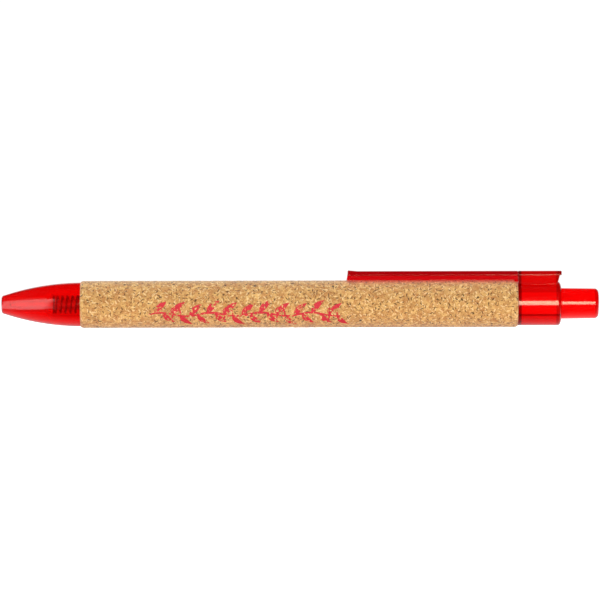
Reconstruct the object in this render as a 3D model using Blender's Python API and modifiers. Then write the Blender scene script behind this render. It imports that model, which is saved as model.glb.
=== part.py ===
"""Retractable ballpoint pen with a cork-wrapped paper barrel.

The pen lies along X, its nose towards -X, its push button towards +X and its
clip on top.  The origin is midway along the pen, level with the underside of
the barrel.  A station is a distance from the nose's front edge, a height is
measured up from the pen's axis, and all lengths are in metres.
"""

from math import cos, pi, radians, sin, sqrt

import bmesh
import bpy
from mathutils import Matrix, Vector

MM = 0.001

# Overall lengths, from the nose's front edge to the button's end
NOSE_LENGTH = 18.5 * MM
BARREL_LENGTH = 102.65 * MM
CAP_LENGTH = 10.0 * MM
BUTTON_LENGTH = 8.75 * MM
SEAM_GAP = 0.05 * MM
BARREL_FRONT = NOSE_LENGTH
BARREL_REAR = BARREL_FRONT + BARREL_LENGTH
CAP_FRONT = BARREL_REAR + SEAM_GAP
CAP_REAR = CAP_FRONT + CAP_LENGTH
PEN_LENGTH = CAP_REAR + SEAM_GAP + BUTTON_LENGTH

# Radial play between pieces that fit into each other, and how far cutters stick out
FIT = 0.05 * MM
OVERSHOOT = 1.0 * MM

# Facets round the large turned pieces, the cork and the small pieces
SIDES = 48
CORK_SIDES = 24
SMALL_SIDES = 24
COIL_POINTS_PER_TURN = 10

# Barrel: a cork sheet glued round a paper tube.  One facet lies flat underneath.
AXIS_HEIGHT = 5.55 * MM
CORK_RADIUS = AXIS_HEIGHT / cos(pi / CORK_SIDES)
CORK_THICKNESS = 0.5 * MM
CORK_END_LENGTH = 0.9 * MM
CORK_END_DROP = 0.42 * MM
TUBE_END = 0.1 * MM
CORK_BORE = CORK_RADIUS - CORK_THICKNESS
TUBE_RADIUS = CORK_BORE * cos(pi / CORK_SIDES) - FIT
TUBE_BORE = 4.6 * MM
SPIGOT_RADIUS = TUBE_BORE - FIT
SPIGOT_CHAMFER = 0.4 * MM

# Nose cone: its outline is one large arc, blunted by a small rim radius
NOSE_ARC_RADIUS = 57.84 * MM
NOSE_ARC_TOP = 5.16 * MM
NOSE_ARC_TOP_STATION = 18.97 * MM
NOSE_RIM_RADIUS = 0.8 * MM
NOSE_SPIGOT_END = 28.0 * MM
TIP_BORE = 1.22 * MM
TIP_BORE_END = 10.4 * MM
SPRING_CHAMBER = 2.45 * MM
SPRING_SEAT = 12.1 * MM

# Return spring
WIRE_RADIUS = 0.2 * MM
COIL_RADIUS = 2.0 * MM
COIL_PITCH = 1.13 * MM
CLOSED_PITCH = 0.46 * MM
CLOSED_TURNS = 1.5
SPRING_FRONT = 12.1 * MM
SPRING_REAR = 30.05 * MM

# Refill
REFILL_FRONT = 2.2 * MM
REFILL_LENGTH = 107.0 * MM
REFILL_REAR = REFILL_FRONT + REFILL_LENGTH
INK_TUBE_FRONT = 19.0 * MM
INK_TUBE_RADIUS = 1.5 * MM
INK_TUBE_BORE = 0.95 * MM
INK_TUBE_CHAMFER = 0.15 * MM
EAR_FRONT = 30.35 * MM
EAR_LENGTH = 1.0 * MM
EAR_WIDTH = 0.9 * MM
EAR_REACH = 2.1 * MM
EAR_ROOT = 1.2 * MM
BALL_RADIUS = 0.5 * MM
BALL_PLAY = 0.04 * MM
BALL_STATION = REFILL_FRONT + BALL_RADIUS
TIP_LIP_STATION = 2.46 * MM
TIP_LIP_RADIUS = 0.64 * MM
TIP_CONE_END = 4.6 * MM
TIP_RADIUS = 1.15 * MM
TIP_SHANK_END = 23.0 * MM
TIP_CHANNEL = 0.3 * MM
INK_FRONT = TIP_SHANK_END + SEAM_GAP
INK_REAR = 90.0 * MM
GREASE_LENGTH = 2.5 * MM
GREASE_DISH = 0.4 * MM

# Click mechanism
CAP_RADIUS = 5.14 * MM
CAP_DOME_LENGTH = 0.8 * MM
CAP_DOME_RADIUS = 3.85 * MM
CAP_SPIGOT_FRONT = 105.0 * MM
CAP_CHAMBER = 4.15 * MM
CAP_BORE = 3.75 * MM
CAP_WALL = 1.1 * MM
GROOVE_FRONT = 112.3 * MM
GROOVE_REAR = CAP_REAR - CAP_WALL
GROOVE_REACH = 4.0 * MM
GROOVE_WIDTH = 2.2 * MM
GROOVES = 4
BUTTON_RADIUS = 3.62 * MM
BUTTON_END_RADIUS = 3.52 * MM
BUTTON_EDGE_RADIUS = 1.0 * MM
PLUNGER_FRONT = 118.0 * MM
PLUNGER_RADIUS = 3.6 * MM
PLUNGER_BORE = 2.45 * MM
PLUNGER_BORE_END = 133.9 * MM
PLUNGER_BORE_CHAMFER = 0.3 * MM
CROWN_TEETH = 8
CROWN_DEPTH = 1.2 * MM
CROWN_BAR_LENGTH = 4.0 * MM
LUG_REACH = 3.93 * MM
LUG_WIDTH = 2.05 * MM
LUG_FRONT = 122.0 * MM
LUG_REAR = GROOVE_REAR - 0.2 * MM
LUG_ROOT = 3.0 * MM
ROTOR_FRONT = 107.0 * MM
ROTOR_SOCKET_PLAY = 0.15 * MM
ROTOR_SOCKET_END = REFILL_REAR + ROTOR_SOCKET_PLAY
ROTOR_NECK_RADIUS = 2.5 * MM
ROTOR_SHOULDER = 112.8 * MM
ROTOR_RADIUS = 3.3 * MM
ROTOR_BODY_END = 116.8 * MM
ROTOR_SPINDLE_RADIUS = 2.3 * MM
ROTOR_SPINDLE_END = 124.0 * MM
ROTOR_LUG_WIDTH = 1.4 * MM
ROTOR_LUG_ROOT = 2.8 * MM
ROTOR_LUG_LOW = 116.9 * MM
SPINDLE_CHAMFER = 0.5 * MM

# Clip and the block that carries it
CLIP_TIP = 80.9 * MM
CLIP_SEAM = 121.3 * MM
CLIP_TOP = 7.65 * MM
CLIP_TIP_RISE = 0.2 * MM
CLIP_TIP_RISE_LENGTH = 2.5 * MM
CLIP_TIP_SLANT = 0.3 * MM
CLIP_WIDTH = 5.5 * MM
PLATE_THICKNESS = 1.05 * MM
PLATE_EDGE_RADIUS = 0.25 * MM
SKIRT_BOTTOM = 5.5 * MM
SKIRT_WIDTH = 4.7 * MM
SKIRT_WALL = 0.8 * MM
SKIRT_SETBACK = 0.25 * MM
END_WALL_BOTTOM = CORK_RADIUS + 0.15 * MM
CLIP_CLEARANCE = 0.1 * MM
TONGUE_LENGTH = 6.8 * MM
TONGUE_TOP = 6.4 * MM
TONGUE_BOTTOM = 5.8 * MM
TONGUE_WIDTH = 2.8 * MM
SLOT_TOP = 6.5 * MM
SLOT_BOTTOM = 5.25 * MM
SLOT_WIDTH = 3.0 * MM
SLOT_LENGTH = 7.4 * MM
BLOCK_BOTTOM = 4.45 * MM
BLOCK_REAR_TOP = 131.0 * MM
BLOCK_REAR_BOTTOM = 130.3 * MM
BLOCK_PLATE_REAR = 131.3 * MM

RED = (0.72, 0.004, 0.006)
DEEP_RED = (0.50, 0.003, 0.008)


def clear_scene():
    for obj in list(bpy.data.objects):
        bpy.data.objects.remove(obj)


def new_collection(name):
    collection = bpy.data.collections.new(name)
    bpy.context.scene.collection.children.link(collection)
    return collection


clear_scene()
PEN = new_collection("cork_ballpoint_pen")
SHAPING = new_collection("shaping_tools")


def add(obj, collection):
    collection.objects.link(obj)
    if collection is SHAPING:
        obj.hide_render = True
        obj.display_type = "WIRE"
    return obj


def axis_empty():
    """The pen's axis: local Z runs from the nose to the button, local X points up."""
    empty = add(bpy.data.objects.new("pen_axis", None), PEN)
    empty.location = (-PEN_LENGTH / 2, 0, AXIS_HEIGHT)
    empty.rotation_euler = (pi, -pi / 2, 0)
    return empty


AXIS = axis_empty()


def finish(obj, colour, roughness, metallic=0.0):
    """Give the object a plain material of its own, and shade its round faces smooth."""
    material = bpy.data.materials.new(obj.name)
    material.use_nodes = True
    shader = material.node_tree.nodes["Principled BSDF"]
    shader.inputs["Base Color"].default_value = (*colour, 1)
    shader.inputs["Roughness"].default_value = roughness
    shader.inputs["Metallic"].default_value = metallic
    material.diffuse_color = (*colour, 1)
    obj.data.materials.append(material)
    if obj.type == "MESH":
        obj.data.shade_smooth()
        obj.data.set_sharp_from_angle(angle=radians(30))


def turned(name, outline, sides, ring=True):
    """Turn an outline of (station, radius) points round the pen's axis.

    The outside runs from the front to the rear.  A ring's outline then comes
    back along its bore, and a solid's starts and ends on the axis.  The
    outline starts half a facet round, so that facets face up and down.  The
    object's origin is on the axis, at the outline's first station.
    """
    start = outline[0][0]
    across, up = sin(pi / sides), cos(pi / sides)
    points = [(radius * up, radius * across, station - start) for station, radius in reversed(outline)]
    edges = [(index, index + 1) for index in range(len(points) - 1)]
    if ring:
        edges.append((len(points) - 1, 0))
    mesh = bpy.data.meshes.new(name)
    mesh.from_pydata(points, edges, [])
    obj = add(bpy.data.objects.new(name, mesh), PEN)
    obj.parent = AXIS
    obj.location = (0, 0, start)
    screw = obj.modifiers.new("turn", "SCREW")
    screw.axis = "Z"
    screw.steps = screw.render_steps = sides
    screw.use_merge_vertices = True
    screw.merge_threshold = 0.001 * MM
    return obj


def arc(station, radius, size, start, end, steps):
    """Points of an arc in the (station, radius) plane, its angles in degrees from the rearward way.

    Its size is (half length along the axis, half height outwards).
    """
    along, out = size
    angles = [radians(start + (end - start) * step / steps) for step in range(steps + 1)]
    return [(station + along * cos(angle), radius + out * sin(angle)) for angle in angles]


def boxes_round_axis(name, count, reach, width, front, rear):
    """Boxes spaced evenly round the axis, each reaching out from the axis side of a wall."""
    inner, outer = reach
    builder = bmesh.new()
    middle = Vector(((inner + outer) / 2, 0, (front + rear) / 2))
    size = Matrix.Diagonal((outer - inner, width, rear - front, 1))
    for index in range(count):
        place = Matrix.Rotation(2 * pi * index / count, 4, "Z") @ Matrix.Translation(middle) @ size
        bmesh.ops.create_cube(builder, size=1, matrix=place)
    mesh = bpy.data.meshes.new(name)
    builder.to_mesh(mesh)
    builder.free()
    obj = add(bpy.data.objects.new(name, mesh), SHAPING)
    obj.parent = AXIS
    return obj


def side_plate(name, outline, width, collection, origin=(0, 0)):
    """A flat plate of that width across the pen, from a side outline of (station, height) points."""
    curve = bpy.data.curves.new(name, "CURVE")
    curve.dimensions = "2D"
    curve.fill_mode = "BOTH"
    curve.extrude = width / 2
    spline = curve.splines.new("POLY")
    spline.points.add(len(outline) - 1)
    for point, (station, height) in zip(spline.points, outline):
        point.co = (station - origin[0], height - origin[1], 0, 1)
    spline.use_cyclic_u = True
    flat = add(bpy.data.objects.new(name + "_outline", curve), SHAPING)
    flat.location = (origin[0] - PEN_LENGTH / 2, 0, origin[1] + AXIS_HEIGHT)
    flat.rotation_euler = (pi / 2, 0, 0)
    bpy.context.view_layer.update()
    graph = bpy.context.evaluated_depsgraph_get()
    mesh = bpy.data.meshes.new_from_object(flat.evaluated_get(graph))
    builder = bmesh.new()
    builder.from_mesh(mesh)
    bmesh.ops.remove_doubles(builder, verts=builder.verts, dist=0.001 * MM)
    builder.to_mesh(mesh)
    builder.free()
    obj = add(bpy.data.objects.new(name, mesh), collection)
    obj.matrix_world = flat.matrix_world
    bpy.data.objects.remove(flat)
    return obj


def combine(obj, tool, operation):
    boolean = obj.modifiers.new(tool.name, "BOOLEAN")
    boolean.object = tool
    boolean.operation = operation
    boolean.solver = "EXACT"
    return boolean


def rounded(obj, width, segments):
    bevel = obj.modifiers.new("rounded_edges", "BEVEL")
    bevel.width = width
    bevel.segments = segments
    bevel.limit_method = "ANGLE"
    bevel.angle_limit = radians(40)


def nose_radius(station):
    drop = sqrt(NOSE_ARC_RADIUS**2 - (station - NOSE_ARC_TOP_STATION) ** 2)
    return NOSE_ARC_TOP - NOSE_ARC_RADIUS + drop


def make_nose_cone():
    rim = NOSE_RIM_RADIUS
    rim_end = nose_radius(rim) - rim
    flank_steps = 10
    flank_length = NOSE_LENGTH - SEAM_GAP - rim
    flank = [rim + flank_length * step / flank_steps for step in range(flank_steps + 1)]
    outline = arc(rim, rim_end, (rim, rim), 180, 117, 3)
    outline += [(station, nose_radius(station)) for station in flank]
    outline += [
        (NOSE_LENGTH - SEAM_GAP, SPIGOT_RADIUS),
        (NOSE_SPIGOT_END - SPIGOT_CHAMFER, SPIGOT_RADIUS),
        (NOSE_SPIGOT_END, SPIGOT_RADIUS - SPIGOT_CHAMFER),
        (NOSE_SPIGOT_END, SPRING_CHAMBER),
        (SPRING_SEAT, SPRING_CHAMBER),
        (TIP_BORE_END, TIP_BORE),
        (0, TIP_BORE),
    ]
    finish(turned("nose_cone", outline, SIDES), RED, 0.12)


def barrel_ring(name, outer, bore, end, sides):
    """A ring as long as the barrel, rounded off at both ends by (length, drop)."""
    length, drop = end
    front = arc(BARREL_FRONT + length, outer - drop, end, 180, 90, 4)
    rear = arc(BARREL_REAR - length, outer - drop, end, 90, 0, 4)
    outline = front + rear + [(BARREL_REAR, bore), (BARREL_FRONT, bore)]
    return turned(name, outline, sides)


def make_barrel():
    cork_end = (CORK_END_LENGTH, CORK_END_DROP)
    cork = barrel_ring("cork_wrap", CORK_RADIUS, CORK_BORE, cork_end, CORK_SIDES)
    finish(cork, (0.62, 0.38, 0.17), 0.85)
    tube = barrel_ring("paper_tube", TUBE_RADIUS, TUBE_BORE, (TUBE_END, TUBE_END), SIDES)
    finish(tube, (0.42, 0.28, 0.16), 0.8)


def make_rear_cap():
    outline = [
        (CAP_SPIGOT_FRONT, CAP_CHAMBER),
        (CAP_SPIGOT_FRONT, SPIGOT_RADIUS - SPIGOT_CHAMFER / 2),
        (CAP_SPIGOT_FRONT + SPIGOT_CHAMFER, SPIGOT_RADIUS),
        (CAP_FRONT, SPIGOT_RADIUS),
        (CAP_FRONT, CAP_RADIUS),
    ]
    dome = (CAP_DOME_LENGTH, CAP_RADIUS - CAP_DOME_RADIUS)
    outline += arc(CAP_REAR - CAP_DOME_LENGTH, CAP_DOME_RADIUS, dome, 90, 0, 5)
    outline += [(CAP_REAR, CAP_BORE), (GROOVE_FRONT, CAP_BORE), (GROOVE_FRONT, CAP_CHAMBER)]
    cap = turned("rear_cap", outline, SIDES)

    plate_bottom = CLIP_TOP - PLATE_THICKNESS
    front = CLIP_SEAM + CLIP_CLEARANCE
    block = [
        (front, BLOCK_BOTTOM),
        (BLOCK_REAR_BOTTOM, BLOCK_BOTTOM),
        (BLOCK_REAR_TOP, plate_bottom + PLATE_THICKNESS / 2),
        (front, plate_bottom + PLATE_THICKNESS / 2),
    ]
    plate = [
        (front, plate_bottom),
        (BLOCK_PLATE_REAR, plate_bottom),
        (BLOCK_PLATE_REAR, CLIP_TOP),
        (front, CLIP_TOP),
    ]
    slot = [
        (CLIP_SEAM - OVERSHOOT, SLOT_BOTTOM),
        (CLIP_SEAM + SLOT_LENGTH, SLOT_BOTTOM),
        (CLIP_SEAM + SLOT_LENGTH, SLOT_TOP),
        (CLIP_SEAM - OVERSHOOT, SLOT_TOP),
    ]
    plate_object = side_plate("clip_block_plate", plate, CLIP_WIDTH, SHAPING)
    rounded(plate_object, PLATE_EDGE_RADIUS, 2)
    combine(cap, side_plate("clip_block", block, SKIRT_WIDTH, SHAPING), "UNION")
    combine(cap, plate_object, "UNION")
    combine(cap, side_plate("tongue_slot", slot, SLOT_WIDTH, SHAPING), "DIFFERENCE")
    reach = (LUG_ROOT, GROOVE_REACH)
    groove_front = GROOVE_FRONT - OVERSHOOT
    grooves = boxes_round_axis("guide_grooves", GROOVES, reach, GROOVE_WIDTH, groove_front, GROOVE_REAR)
    combine(cap, grooves, "DIFFERENCE")
    finish(cap, RED, 0.12)


def make_clip():
    plate_bottom = CLIP_TOP - PLATE_THICKNESS
    slant = CLIP_TIP_SLANT * PLATE_THICKNESS / (CLIP_TOP - SKIRT_BOTTOM)
    hinge = (CLIP_SEAM, CLIP_TOP)
    plate = [
        (CLIP_TIP + CLIP_TIP_SLANT - slant, plate_bottom),
        (CLIP_SEAM, plate_bottom),
        (CLIP_SEAM, CLIP_TOP),
        (CLIP_TIP + CLIP_TIP_RISE_LENGTH, CLIP_TOP),
        (CLIP_TIP + CLIP_TIP_SLANT, CLIP_TOP + CLIP_TIP_RISE),
    ]
    skirt = [
        (CLIP_TIP, SKIRT_BOTTOM),
        (CLIP_SEAM, SKIRT_BOTTOM),
        (CLIP_SEAM, plate_bottom + PLATE_THICKNESS / 2),
        (CLIP_TIP + SKIRT_SETBACK, plate_bottom + PLATE_THICKNESS / 2),
    ]
    # Between the side walls, both end walls stop short of the barrel
    cavity = [
        (CLIP_TIP - OVERSHOOT, SKIRT_BOTTOM - OVERSHOOT),
        (CLIP_SEAM + OVERSHOOT, SKIRT_BOTTOM - OVERSHOOT),
        (CLIP_SEAM + OVERSHOOT, END_WALL_BOTTOM),
        (CLIP_SEAM - 2 * SKIRT_WALL, END_WALL_BOTTOM),
        (CLIP_SEAM - 2 * SKIRT_WALL, plate_bottom),
        (CLIP_TIP + 2 * SKIRT_WALL, plate_bottom),
        (CLIP_TIP + 2 * SKIRT_WALL, END_WALL_BOTTOM),
        (CLIP_TIP - OVERSHOOT, END_WALL_BOTTOM),
    ]
    tongue = [
        (CLIP_SEAM - SKIRT_WALL, TONGUE_BOTTOM),
        (CLIP_SEAM + TONGUE_LENGTH, TONGUE_BOTTOM),
        (CLIP_SEAM + TONGUE_LENGTH, TONGUE_TOP),
        (CLIP_SEAM - SKIRT_WALL, TONGUE_TOP),
    ]
    clip = side_plate("clip", plate, CLIP_WIDTH, PEN, origin=hinge)
    rounded(clip, PLATE_EDGE_RADIUS, 2)
    combine(clip, side_plate("clip_skirt", skirt, SKIRT_WIDTH, SHAPING), "UNION")
    cavity_width = SKIRT_WIDTH - 2 * SKIRT_WALL
    combine(clip, side_plate("clip_hollow", cavity, cavity_width, SHAPING), "DIFFERENCE")
    combine(clip, side_plate("clip_tongue", tongue, TONGUE_WIDTH, SHAPING), "UNION")
    finish(clip, DEEP_RED, 0.12)


def make_crown_cutter():
    """Square bars on edge, laid out like spokes, that cut V notches into the plunger's front end."""
    side = CROWN_DEPTH * sqrt(2)
    builder = bmesh.new()
    size = Matrix.Diagonal((CROWN_BAR_LENGTH, side, side, 1))
    on_edge = Matrix.Rotation(radians(45), 4, "X")
    for index in range(CROWN_TEETH):
        # Half a pitch from a notch to a tooth, and a quarter to the middle of a flank
        spoke = Matrix.Rotation(2 * pi * (index + 0.25) / CROWN_TEETH, 4, "Z")
        place = spoke @ Matrix.Translation((CROWN_BAR_LENGTH, 0, PLUNGER_FRONT)) @ on_edge @ size
        bmesh.ops.create_cube(builder, size=1, matrix=place)
    mesh = bpy.data.meshes.new("crown_notches")
    builder.to_mesh(mesh)
    builder.free()
    cutter = add(bpy.data.objects.new("crown_notches", mesh), SHAPING)
    cutter.parent = AXIS
    return cutter


def make_push_button():
    edge = BUTTON_EDGE_RADIUS
    outline = [
        (PLUNGER_BORE_END, 0),
        (PLUNGER_BORE_END, PLUNGER_BORE - PLUNGER_BORE_CHAMFER),
        (PLUNGER_BORE_END - PLUNGER_BORE_CHAMFER, PLUNGER_BORE),
        (PLUNGER_FRONT, PLUNGER_BORE),
        (PLUNGER_FRONT, PLUNGER_RADIUS),
        (CAP_REAR, PLUNGER_RADIUS),
        (CAP_REAR + SEAM_GAP, BUTTON_RADIUS),
    ]
    outline += arc(PEN_LENGTH - edge, BUTTON_END_RADIUS - edge, (edge, edge), 85, 0, 5)
    outline += [(PEN_LENGTH, 0)]
    button = turned("push_button", outline, SIDES, ring=False)
    reach = (LUG_ROOT, LUG_REACH)
    lugs = boxes_round_axis("plunger_lugs", GROOVES, reach, LUG_WIDTH, LUG_FRONT, LUG_REAR)
    combine(button, lugs, "UNION")
    combine(button, make_crown_cutter(), "DIFFERENCE").use_self = True
    finish(button, RED, 0.12)


def make_rotor_lugs():
    """Ribs whose rear ends slope at 45 degrees, so that the crown's teeth turn the cam."""
    builder = bmesh.new()
    depth = LUG_REACH - ROTOR_LUG_ROOT
    size = Matrix.Diagonal((depth, ROTOR_LUG_WIDTH, ROTOR_LUG_LOW - ROTOR_SHOULDER, 1))
    middle = Vector(((LUG_REACH + ROTOR_LUG_ROOT) / 2, 0, (ROTOR_LUG_LOW + ROTOR_SHOULDER) / 2))
    for index in range(GROOVES):
        spoke = Matrix.Rotation(2 * pi * index / GROOVES, 4, "Z")
        made = bmesh.ops.create_cube(builder, size=1, matrix=spoke @ Matrix.Translation(middle) @ size)
        for vertex in made["verts"]:
            local = spoke.inverted() @ vertex.co
            if local.z > middle.z and local.y > 0:
                vertex.co.z += ROTOR_LUG_WIDTH
    mesh = bpy.data.meshes.new("rotor_lugs")
    builder.to_mesh(mesh)
    builder.free()
    lugs = add(bpy.data.objects.new("rotor_lugs", mesh), SHAPING)
    lugs.parent = AXIS
    return lugs


def make_cam_rotor():
    socket = INK_TUBE_RADIUS + FIT
    outline = [
        (ROTOR_SOCKET_END, 0),
        (ROTOR_SOCKET_END, socket),
        (ROTOR_FRONT, socket),
        (ROTOR_FRONT, ROTOR_NECK_RADIUS),
        (ROTOR_SHOULDER, ROTOR_NECK_RADIUS),
        (ROTOR_SHOULDER, ROTOR_RADIUS),
        (ROTOR_BODY_END, ROTOR_RADIUS),
        (ROTOR_BODY_END, ROTOR_SPINDLE_RADIUS),
        (ROTOR_SPINDLE_END - SPINDLE_CHAMFER, ROTOR_SPINDLE_RADIUS),
        (ROTOR_SPINDLE_END, ROTOR_SPINDLE_RADIUS - SPINDLE_CHAMFER),
        (ROTOR_SPINDLE_END, 0),
    ]
    rotor = turned("cam_rotor", outline, SMALL_SIDES, ring=False)
    combine(rotor, make_rotor_lugs(), "UNION")
    finish(rotor, (0.85, 0.85, 0.83), 0.35)


def coil_path():
    """Stations and turn angles of the spring's centre line, closed up at both ends."""
    closed = CLOSED_TURNS * CLOSED_PITCH
    open_turns = (SPRING_REAR - SPRING_FRONT - 2 * closed) / COIL_PITCH
    turns = 2 * CLOSED_TURNS + open_turns
    count = round(turns * COIL_POINTS_PER_TURN)
    points = []
    for step in range(count + 1):
        turn = turns * step / count
        opened = min(max(turn - CLOSED_TURNS, 0), open_turns)
        station = SPRING_FRONT + opened * COIL_PITCH + (turn - opened) * CLOSED_PITCH
        points.append((COIL_RADIUS * cos(2 * pi * turn), COIL_RADIUS * sin(2 * pi * turn), station))
    return points


def make_return_spring():
    curve = bpy.data.curves.new("return_spring", "CURVE")
    curve.dimensions = "3D"
    curve.bevel_depth = WIRE_RADIUS
    curve.bevel_resolution = 2
    curve.use_fill_caps = True
    path = coil_path()
    spline = curve.splines.new("POLY")
    spline.points.add(len(path) - 1)
    for point, place in zip(spline.points, path):
        point.co = (*place, 1)
    spring = add(bpy.data.objects.new("return_spring", curve), PEN)
    spring.parent = AXIS
    finish(spring, (0.55, 0.55, 0.56), 0.25, metallic=1.0)


def make_refill():
    tube_outline = [
        (INK_TUBE_FRONT, INK_TUBE_BORE),
        (INK_TUBE_FRONT, INK_TUBE_RADIUS - INK_TUBE_CHAMFER),
        (INK_TUBE_FRONT + INK_TUBE_CHAMFER, INK_TUBE_RADIUS),
        (REFILL_REAR, INK_TUBE_RADIUS),
        (REFILL_REAR, INK_TUBE_BORE),
    ]
    tube = turned("refill_tube", tube_outline, SMALL_SIDES)
    ears = boxes_round_axis(
        "crimped_ears", 2, (EAR_ROOT, EAR_REACH), EAR_WIDTH, EAR_FRONT, EAR_FRONT + EAR_LENGTH
    )
    combine(tube, ears, "UNION")
    finish(tube, (0.8, 0.8, 0.78), 0.3)

    seat = BALL_RADIUS + BALL_PLAY
    lip_angle = 118
    shank = INK_TUBE_BORE - FIT
    tip_outline = [
        (TIP_LIP_STATION, TIP_LIP_RADIUS),
        (TIP_CONE_END, TIP_RADIUS),
        (INK_TUBE_FRONT - SEAM_GAP, TIP_RADIUS),
        (INK_TUBE_FRONT - SEAM_GAP, shank),
        (TIP_SHANK_END, shank),
        (TIP_SHANK_END, TIP_CHANNEL),
    ]
    tip_outline += arc(BALL_STATION, 0, (seat, seat), 33, lip_angle, 5)
    finish(turned("refill_tip", tip_outline, SMALL_SIDES), (0.72, 0.48, 0.17), 0.3, metallic=1.0)

    ink_radius = INK_TUBE_BORE - FIT
    ink = [(INK_FRONT, 0), (INK_FRONT, ink_radius), (INK_REAR, ink_radius), (INK_REAR, 0)]
    finish(turned("ink_column", ink, SMALL_SIDES, ring=False), (0.01, 0.012, 0.05), 0.3)
    grease_front = INK_REAR + SEAM_GAP
    grease = [
        (grease_front, 0),
        (grease_front, ink_radius),
        (grease_front + GREASE_LENGTH, ink_radius),
        (grease_front + GREASE_LENGTH - GREASE_DISH, 0),
    ]
    finish(turned("grease_plug", grease, SMALL_SIDES, ring=False), (0.85, 0.8, 0.6), 0.2)


def make_writing_ball():
    builder = bmesh.new()
    bmesh.ops.create_uvsphere(builder, u_segments=16, v_segments=8, radius=BALL_RADIUS)
    mesh = bpy.data.meshes.new("writing_ball")
    builder.to_mesh(mesh)
    builder.free()
    ball = add(bpy.data.objects.new("writing_ball", mesh), PEN)
    ball.parent = AXIS
    ball.location = (0, 0, BALL_STATION)
    finish(ball, (0.5, 0.5, 0.52), 0.1, metallic=1.0)


make_nose_cone()
make_barrel()
make_rear_cap()
make_clip()
make_push_button()
make_cam_rotor()
make_return_spring()
make_refill()
make_writing_ball()
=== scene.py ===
"""Visual model of the cork-wrapped ballpoint pen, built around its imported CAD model.

The pen lies along X with its nose towards -X and its clip on top.  A station is
a distance from the nose's front edge, and a height is measured up from the
pen's axis.  All lengths are in metres.
"""

from math import cos, pi, radians, sin, sqrt, tan

import bmesh
import bpy
import numpy as np
from mathutils import Matrix, Vector, noise


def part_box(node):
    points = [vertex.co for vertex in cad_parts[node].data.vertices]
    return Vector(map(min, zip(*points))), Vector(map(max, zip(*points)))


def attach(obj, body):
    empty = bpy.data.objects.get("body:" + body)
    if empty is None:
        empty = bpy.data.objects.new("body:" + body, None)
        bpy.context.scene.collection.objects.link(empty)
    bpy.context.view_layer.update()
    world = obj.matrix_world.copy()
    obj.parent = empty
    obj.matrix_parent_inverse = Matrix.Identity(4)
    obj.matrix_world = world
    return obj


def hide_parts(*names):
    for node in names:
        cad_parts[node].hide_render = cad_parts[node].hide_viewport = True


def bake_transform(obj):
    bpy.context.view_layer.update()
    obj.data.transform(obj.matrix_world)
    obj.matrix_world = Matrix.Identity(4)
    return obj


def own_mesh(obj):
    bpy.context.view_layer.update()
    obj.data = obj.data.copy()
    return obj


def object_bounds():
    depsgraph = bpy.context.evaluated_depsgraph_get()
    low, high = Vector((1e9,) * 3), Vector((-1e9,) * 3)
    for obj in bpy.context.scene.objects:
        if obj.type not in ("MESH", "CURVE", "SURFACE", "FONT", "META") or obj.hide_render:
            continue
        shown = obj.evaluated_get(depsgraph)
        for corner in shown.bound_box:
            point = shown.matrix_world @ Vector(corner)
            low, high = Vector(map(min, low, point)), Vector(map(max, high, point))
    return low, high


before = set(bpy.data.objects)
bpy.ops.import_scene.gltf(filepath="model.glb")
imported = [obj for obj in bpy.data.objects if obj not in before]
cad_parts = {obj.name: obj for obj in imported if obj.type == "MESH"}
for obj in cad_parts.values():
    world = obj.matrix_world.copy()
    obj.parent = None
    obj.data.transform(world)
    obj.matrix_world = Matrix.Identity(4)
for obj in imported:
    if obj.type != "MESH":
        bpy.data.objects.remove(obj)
CAD_BOX = [list(map(float, corner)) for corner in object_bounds()]

MM = 0.001
NOSE_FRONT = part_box("nose_cone")[0].x
AXIS_Z = (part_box("writing_ball")[0].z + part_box("writing_ball")[1].z) / 2
BARREL_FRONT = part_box("cork_wrap")[0].x - NOSE_FRONT
BARREL_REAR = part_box("cork_wrap")[1].x - NOSE_FRONT
PEN_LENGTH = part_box("push_button")[1].x - NOSE_FRONT
CLIP_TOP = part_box("rear_cap")[1].z - AXIS_Z
AXIS_HEIGHT = AXIS_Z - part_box("cork_wrap")[0].z

# The pen's frame: local X is the station, local Z the height
PEN = Matrix.Translation((NOSE_FRONT, 0, AXIS_Z))

SIDES = 128
SMALL_SIDES = 64
INSIDE_SIDES = 48
SEAM_GAP = 0.05 * MM
EDGE = 0.12 * MM
SHARP_EDGE = 0.05 * MM
SOFT_EDGE = 0.1 * MM
TINY = 1e-7

# The most of an outline's edge that a fillet may take
FILLET_SHARE = 0.45

# Nose cone
NOSE_ARC_RADIUS = 57.84 * MM
NOSE_ARC_TOP = 5.16 * MM
NOSE_ARC_TOP_STATION = 18.97 * MM
NOSE_RIM_RADIUS = 0.8 * MM
NOSE_RIM_BORE = 1.32 * MM
NOSE_ARC_STEPS = 48
SPIGOT_RADIUS = 4.55 * MM
SPIGOT_CHAMFER = 0.4 * MM
NOSE_SPIGOT_END = 28.0 * MM
TIP_BORE = 1.22 * MM
TIP_BORE_END = 10.4 * MM
SPRING_CHAMBER = 2.45 * MM
SPRING_CHAMBER_FRONT = 12.1 * MM

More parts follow.
